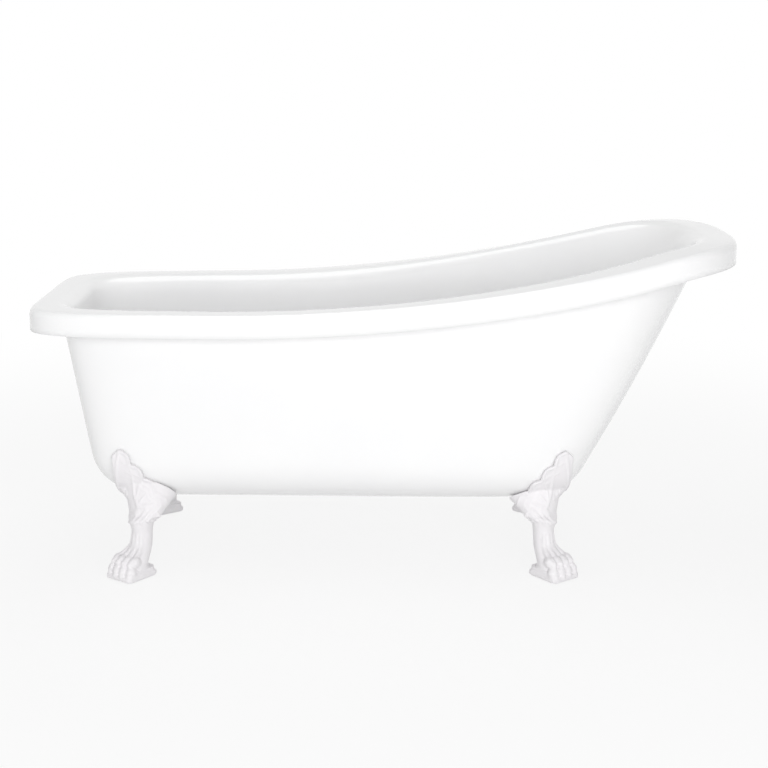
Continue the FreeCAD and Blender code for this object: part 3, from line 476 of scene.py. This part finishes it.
def carve_hip(foot, carver):
    """Diagonal lobes where the leg runs into the plate, a curl under them and the shoulder."""
    for lobe in range(LOBES):
        marks = [
            (inward + inward_step * lobe, SKIN_BOTTOM + rise + rise_step * lobe)
            for (inward, rise), (inward_step, rise_step) in LOBE_MARKS
        ]
        carve_line(foot, carver, marks, LOBE_THICK, LOBE_THIN, LOBE_SUNK)
    curl = []
    for step in range(CURL_STEPS):
        angle = math.radians(CURL_FROM + CURL_TURN * step)
        radius = CURL_RADIUS - CURL_SHRINK * step
        inward = CURL_INWARD + radius * math.cos(angle)
        curl.append((inward, SKIN_BOTTOM + CURL_RISE + radius * math.sin(angle)))
    carve_line(foot, carver, curl, CURL_THICK, CURL_THIN, CURL_SUNK)
    top = foot.on_plate(SHOULDER_INWARD, SKIN_BOTTOM + SHOULDER_RISE, -SHOULDER_SUNK)
    if top is not None:
        path = smooth_path([top] + [foot.at_paw(*place) for place in SHOULDER_AT_PAW], PATH_STEPS)
        carver.ridge(path, SHOULDER_TOP_RADIUS, SHOULDER_LOW_RADIUS)


# ---------------------------------------------------------------- carving of the paw

TOE_PITCH, TOE_BACK = 0.0205, 0.0035
TOES = (-1.5, -0.5, 0.5, 1.5)

# balls of one toe, as (share of the toe's place across, forward, level, radii, lean):
# the toe, its claw and its knuckle
TOE_BALLS = [
    (1, 0.0375, 0.0240, (0.0124, 0.0140, 0.0150), 0.0),
    (1, 0.0475, 0.0135, (0.0052, 0.0060, 0.0075), 0.3),
    (0.88, 0.0230, 0.0460, (0.0130, 0.0165, 0.0128), 0.5),
]

# the tendon behind each toe, as (share of the toe's place across, forward, level)
TENDON = [
    (0.84, 0.0200, 0.050), (0.56, -0.0080, 0.070), (0.46, -0.0150, 0.094),
    (0.44, -0.0175, 0.118), (0.44, -0.0200, 0.136),
]
TENDON_STEPS, TENDON_THICK, TENDON_THIN = 4, 0.0082, 0.0040

PLINTH_SIZES = (0.084, 0.098, 0.013)
PLINTH_FORWARD, PLINTH_MIDDLE = 0.0015, 0.0075
PLINTH = block_template(bevel=0.12, segments=3)


def carve_paw(foot, carver):
    """Rounded toes and knuckles on a plain plinth, and tendons that run up the leg."""
    for toe in TOES:
        place = toe * TOE_PITCH
        back = abs(toe) * TOE_BACK
        for share, forward, level, radii, lean in TOE_BALLS:
            centre = foot.at_paw(place * share, forward - back, level)
            carver.put(FINE_BALL, shape_at(centre, radii, foot.turn, lean))
        path = [
            foot.at_paw(place * share, forward - back, level) for share, forward, level in TENDON
        ]
        carver.ridge(smooth_path(path, TENDON_STEPS), TENDON_THICK, TENDON_THIN)
    middle = foot.at_paw(0, PLINTH_FORWARD, SOLE + PLINTH_MIDDLE)
    carver.put(PLINTH, shape_at(middle, PLINTH_SIZES, foot.turn))


# ---------------------------------------------------------------- castings

# the carving is melted into one skin of this grain, then softened
VOXEL = 0.0017
SMOOTH_SHARE, SMOOTH_ROUNDS = 0.5, 7

# radii of the holes for a pad and its screw, and the room above the screw's top
PAD_ROOM, SCREW_ROOM, SCREW_SPARE = 0.023, 0.0054, 0.0005
LOCKNUT_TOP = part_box("leveller_locknut_low_front")[1].z
SCREW_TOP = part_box("leveller_screw_low_front")[1].z
HOLE_STEPS = 48


def settle(thing, name, kind, **values):
    """Add a modifier and make it part of the mesh."""
    modifier = thing.modifiers.new(name, kind)
    for key, value in values.items():
        setattr(modifier, key, value)
    bpy.context.view_layer.update()
    solid = thing.evaluated_get(bpy.context.evaluated_depsgraph_get())
    mesh = bpy.data.meshes.new_from_object(solid)
    thing.modifiers.clear()
    thing.data = mesh


def levelling_hole(foot):
    """The room for one foot's pad, locknut and screw, as a solid to cut away."""
    profile = [
        (PAD_ROOM, -PAD_ROOM), (PAD_ROOM, LOCKNUT_TOP),
        (SCREW_ROOM, LOCKNUT_TOP), (SCREW_ROOM, SCREW_TOP + SCREW_SPARE),
    ]
    vertices = []
    for radius, level in profile:
        for step in range(HOLE_STEPS):
            angle = 2 * math.pi * step / HOLE_STEPS
            place = Vector((radius * math.cos(angle), radius * math.sin(angle), level))
            vertices.append(foot.paw + place)
    rings = [range(row * HOLE_STEPS, (row + 1) * HOLE_STEPS) for row in range(len(profile))]
    faces = [list(rings[0])[::-1], list(rings[-1])]
    for lower, upper in zip(rings, rings[1:]):
        for step in range(HOLE_STEPS):
            right = (step + 1) % HOLE_STEPS
            faces.append((lower[step], lower[right], upper[right], upper[step]))
    mesh = bpy.data.meshes.new("levelling_hole")
    mesh.from_pydata(vertices, [], faces)
    return placed("levelling_hole", mesh)


def carved_foot(end):
    """The front foot of one end, as one smooth casting."""
    foot = Foot(end)
    carver = Carver(foot.solid.data)
    carve_plate(foot, carver)
    carve_hip(foot, carver)
    carve_paw(foot, carver)
    thing = placed(f"casting_{end}_front", carver.mesh(f"casting_{end}"))
    settle(thing, "melt", "REMESH", mode="VOXEL", voxel_size=VOXEL, adaptivity=0)
    settle(thing, "soften", "SMOOTH", factor=SMOOTH_SHARE, iterations=SMOOTH_ROUNDS)
    hole = levelling_hole(foot)
    settle(thing, "level", "BOOLEAN", operation="DIFFERENCE", solver="EXACT", object=hole)
    bpy.data.objects.remove(hole)
    shade_smooth(thing.data)
    return thing


def mirrored(thing, name):
    """The same casting for the back of the tub."""
    mesh = thing.data.copy()
    mesh.transform(Matrix.Scale(-1, 4, (0, 1, 0)))
    mesh.flip_normals()
    return placed(name, mesh)


# ---------------------------------------------------------------- materials

RAMP_FROM, RAMP_TO = 0.3, 0.7
NOISE_DETAIL = 4.0
COAT_ROUGHNESS, GRAIN_DEPTH = 0.06, 0.0004


def material(name):
    """A new node material, its node tree and its shader."""
    made = bpy.data.materials.new(name)
    made.use_nodes = True
    shader = made.node_tree.nodes["Principled BSDF"]
    return made, made.node_tree, shader


def noise(tree, scale):
    """Grey levels of a noise in the object's own coordinates."""
    coordinates = tree.nodes.new("ShaderNodeTexCoord")
    texture = tree.nodes.new("ShaderNodeTexNoise")
    texture.inputs["Scale"].default_value = scale
    texture.inputs["Detail"].default_value = NOISE_DETAIL
    tree.links.new(coordinates.outputs["Object"], texture.inputs["Vector"])
    return texture.outputs["Fac"]


def ramp(tree, source, low, high):
    """Turn a 0-1 value into a range of colours or grey levels."""
    node = tree.nodes.new("ShaderNodeValToRGB")
    ends = node.color_ramp.elements
    ends[0].color, ends[0].position = low, RAMP_FROM
    ends[1].color, ends[1].position = high, RAMP_TO
    tree.links.new(source, node.inputs["Fac"])
    return node.outputs["Color"]


def grey(level):
    """A grey of this level, as a colour."""
    return (level, level, level, 1)


def varied(name, low, high, rough, scale, metallic=0.0, bump=0.0, bump_scale=1.0, coat=0.0):
    """A finish whose colour, roughness and surface vary a little.

    low and high are its two colours, and rough its two roughnesses.
    """
    made, tree, shader = material(name)
    patches = noise(tree, scale)
    tree.links.new(ramp(tree, patches, low, high), shader.inputs["Base Color"])
    tree.links.new(ramp(tree, patches, *map(grey, rough)), shader.inputs["Roughness"])
    shader.inputs["Metallic"].default_value = metallic
    shader.inputs["Coat Weight"].default_value = coat
    shader.inputs["Coat Roughness"].default_value = COAT_ROUGHNESS
    if bump:
        node = tree.nodes.new("ShaderNodeBump")
        node.inputs["Strength"].default_value = bump
        node.inputs["Distance"].default_value = GRAIN_DEPTH
        tree.links.new(noise(tree, bump_scale), node.inputs["Height"])
        tree.links.new(node.outputs["Normal"], shader.inputs["Normal"])
    return made


acrylic = varied(
    "acrylic_white", (0.915, 0.915, 0.92, 1), (0.935, 0.935, 0.935, 1), rough=(0.10, 0.16),
    scale=3.0, coat=0.3,
)
foot_paint = varied(
    "foot_white", (0.86, 0.84, 0.86, 1), (0.88, 0.865, 0.88, 1), rough=(0.30, 0.40),
    scale=30.0, bump=0.12, bump_scale=260.0,
)
chrome = varied(
    "chrome", grey(0.78), grey(0.84), rough=(0.05, 0.10), scale=40.0, metallic=1.0,
)
brass = varied(
    "brass", (0.66, 0.48, 0.22, 1), (0.76, 0.58, 0.30, 1), rough=(0.25, 0.38),
    scale=60.0, metallic=1.0,
)
steel = varied(
    "zinc_steel", grey(0.55), grey(0.66), rough=(0.28, 0.45), scale=90.0, metallic=1.0,
    bump=0.1, bump_scale=500.0,
)
rubber = varied("rubber", grey(0.018), grey(0.035), rough=(0.55, 0.75), scale=120.0)
board = varied(
    "board", (0.42, 0.28, 0.15, 1), (0.60, 0.44, 0.27, 1), rough=(0.6, 0.8),
    scale=180.0, bump=0.5, bump_scale=420.0,
)

SLOT_FINISH = {
    "acrylic_white": acrylic, "foot_white": foot_paint, "chrome": chrome, "brass_nut": brass,
    "zinc_steel": steel, "rubber": rubber, "board_wood": board,
}
for entry in frame["record"]["subparts"]:
    mesh = NODES[entry["node"]].data
    mesh.materials.clear()
    mesh.materials.append(SLOT_FINISH[entry["material_slot"]])

# ---------------------------------------------------------------- dressed pieces


def dress(thing, body, slot, finish, *nodes):
    """Give a piece its finish and its body, and hide the nodes that it stands for."""
    thing.data.materials.clear()
    thing.data.materials.append(finish)
    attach(thing, body)
    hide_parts(*nodes)


dress(shell_object("well", basin_column), "tub", "acrylic_white", acrylic, "basin")
dress(shell_object("skin", skin_column), "tub", "acrylic_white", acrylic, "outer_skin")
for end in PAW_X:
    front = carved_foot(end)
    back = mirrored(front, f"casting_{end}_back")
    dress(front, "tub", "foot_white", foot_paint, f"foot_{end}_front")
    dress(back, "tub", "foot_white", foot_paint, f"foot_{end}_back")

# ---------------------------------------------------------------- floor, light and camera

FLOOR_HALF = 30.0
FLOOR_GREY, FLOOR_ROUGHNESS = 0.80, 0.9

# the floor's glow towards the camera, from its share near the tub to its share far from it
GLOW_NEAR, GLOW_FAR = 0.9, 3.2
GLOW_LEAST, GLOW_MOST = 0.84, 1.0
WHITE, WHITE_STRENGTH = (1, 1, 1, 1), 1.0
WORLD_LIGHT = 0.43
CAMERA_PLACE, CAMERA_PITCH = (-0.0045, -3.8, 1.302), 0.228
CAMERA_LENS, CAMERA_SENSOR = 71.96, 36


def mixed(tree, share, first, second):
    """Two shaders mixed, from the first at a share of 0 to the second at 1."""
    mix = tree.nodes.new("ShaderNodeMixShader")
    tree.links.new(share, mix.inputs["Fac"])
    tree.links.new(first, mix.inputs[1])
    tree.links.new(second, mix.inputs[2])
    return mix.outputs[0]


def white_to_camera(tree, shown, plain):
    """A surface that the camera and reflections see in one way and light in another."""
    path = tree.nodes.new("ShaderNodeLightPath")
    seen = path.outputs["Is Camera Ray"]
    for other in ("Is Glossy Ray", "Is Transmission Ray"):
        most = tree.nodes.new("ShaderNodeMath")
        most.operation = "MAXIMUM"
        tree.links.new(seen, most.inputs[0])
        tree.links.new(path.outputs[other], most.inputs[1])
        seen = most.outputs[0]
    return mixed(tree, seen, plain, shown)


def glow_share(tree):
    """How far the floor has turned into plain white, which grows away from the tub."""
    coordinates = tree.nodes.new("ShaderNodeTexCoord")
    distance = tree.nodes.new("ShaderNodeVectorMath")
    distance.operation = "LENGTH"
    tree.links.new(coordinates.outputs["Object"], distance.inputs[0])
    fade = tree.nodes.new("ShaderNodeMapRange")
    fade.interpolation_type = "SMOOTHSTEP"
    fade.inputs["From Min"].default_value = GLOW_NEAR
    fade.inputs["From Max"].default_value = GLOW_FAR
    fade.inputs["To Min"].default_value = GLOW_LEAST
    fade.inputs["To Max"].default_value = GLOW_MOST
    tree.links.new(distance.outputs["Value"], fade.inputs["Value"])
    return fade.outputs["Result"]


def make_floor():
    """A pale floor that keeps the tub's shadow and runs into the white background."""
    corners = [(-FLOOR_HALF, -FLOOR_HALF, 0), (FLOOR_HALF, -FLOOR_HALF, 0),
               (FLOOR_HALF, FLOOR_HALF, 0), (-FLOOR_HALF, FLOOR_HALF, 0)]
    mesh = bpy.data.meshes.new("floor")
    mesh.from_pydata(corners, [], [(0, 1, 2, 3)])
    floor = placed("floor", mesh)
    made, tree, shader = material("floor")
    shader.inputs["Base Color"].default_value = grey(FLOOR_GREY)
    shader.inputs["Roughness"].default_value = FLOOR_ROUGHNESS
    glow = tree.nodes.new("ShaderNodeEmission")
    glow.inputs["Strength"].default_value = WHITE_STRENGTH
    shown = mixed(tree, glow_share(tree), shader.outputs[0], glow.outputs[0])
    surface = white_to_camera(tree, shown, shader.outputs[0])
    tree.links.new(surface, tree.nodes["Material Output"].inputs["Surface"])
    floor.data.materials.append(made)


def make_world(light_level):
    """A white background that lights the tub at its own, lower level."""
    world = bpy.data.worlds.new("world")
    bpy.context.scene.world = world
    world.use_nodes = True
    tree = world.node_tree
    plain = tree.nodes["Background"]
    shown = tree.nodes.new("ShaderNodeBackground")
    for background, strength in ((plain, light_level), (shown, WHITE_STRENGTH)):
        background.inputs["Color"].default_value = WHITE
        background.inputs["Strength"].default_value = strength
    surface = white_to_camera(tree, shown.outputs[0], plain.outputs[0])
    tree.links.new(surface, tree.nodes["World Output"].inputs["Surface"])


def softbox(name, place, target, width, height, watts, mirrored_in_gloss=False):
    """A rectangular lamp aimed at a place, which glossy surfaces may or may not show."""
    data = bpy.data.lights.new(name, "AREA")
    data.shape = "RECTANGLE"
    data.size = width
    data.size_y = height
    data.energy = watts
    lamp = placed(name, data)
    lamp.location = place
    aim = Vector(target) - Vector(place)
    lamp.rotation_euler = aim.to_track_quat("-Z", "Y").to_euler()
    lamp.visible_glossy = mirrored_in_gloss


def make_camera():
    """The photograph's camera, level from side to side and pitched down at the tub."""
    data = bpy.data.cameras.new("camera")
    data.lens = CAMERA_LENS
    data.sensor_width = CAMERA_SENSOR
    camera = placed("camera", data)
    camera.location = CAMERA_PLACE
    camera.rotation_euler = (math.pi / 2 - CAMERA_PITCH, 0, 0)
    bpy.context.scene.camera = camera


make_floor()
make_world(WORLD_LIGHT)
softbox("key", place=(0.7, -4.2, 1.35), target=(0, 0, 0.4), width=3.4, height=1.6, watts=96)
softbox("fill", place=(-3.2, -2.6, 0.5), target=(-0.4, -0.2, 0.35), width=1.4, height=0.8, watts=13)
softbox("back", place=(0.6, 4.2, 1.2), target=(0, 0, 0.4), width=3.0, height=1.4, watts=34)
softbox(
    "top", place=(-0.5, 0.1, 3.2), target=(-0.1, 0, 0.3), width=2.4, height=1.4, watts=21,
    mirrored_in_gloss=True,
)
make_camera()
bpy.context.scene.view_settings.view_transform = "Standard"
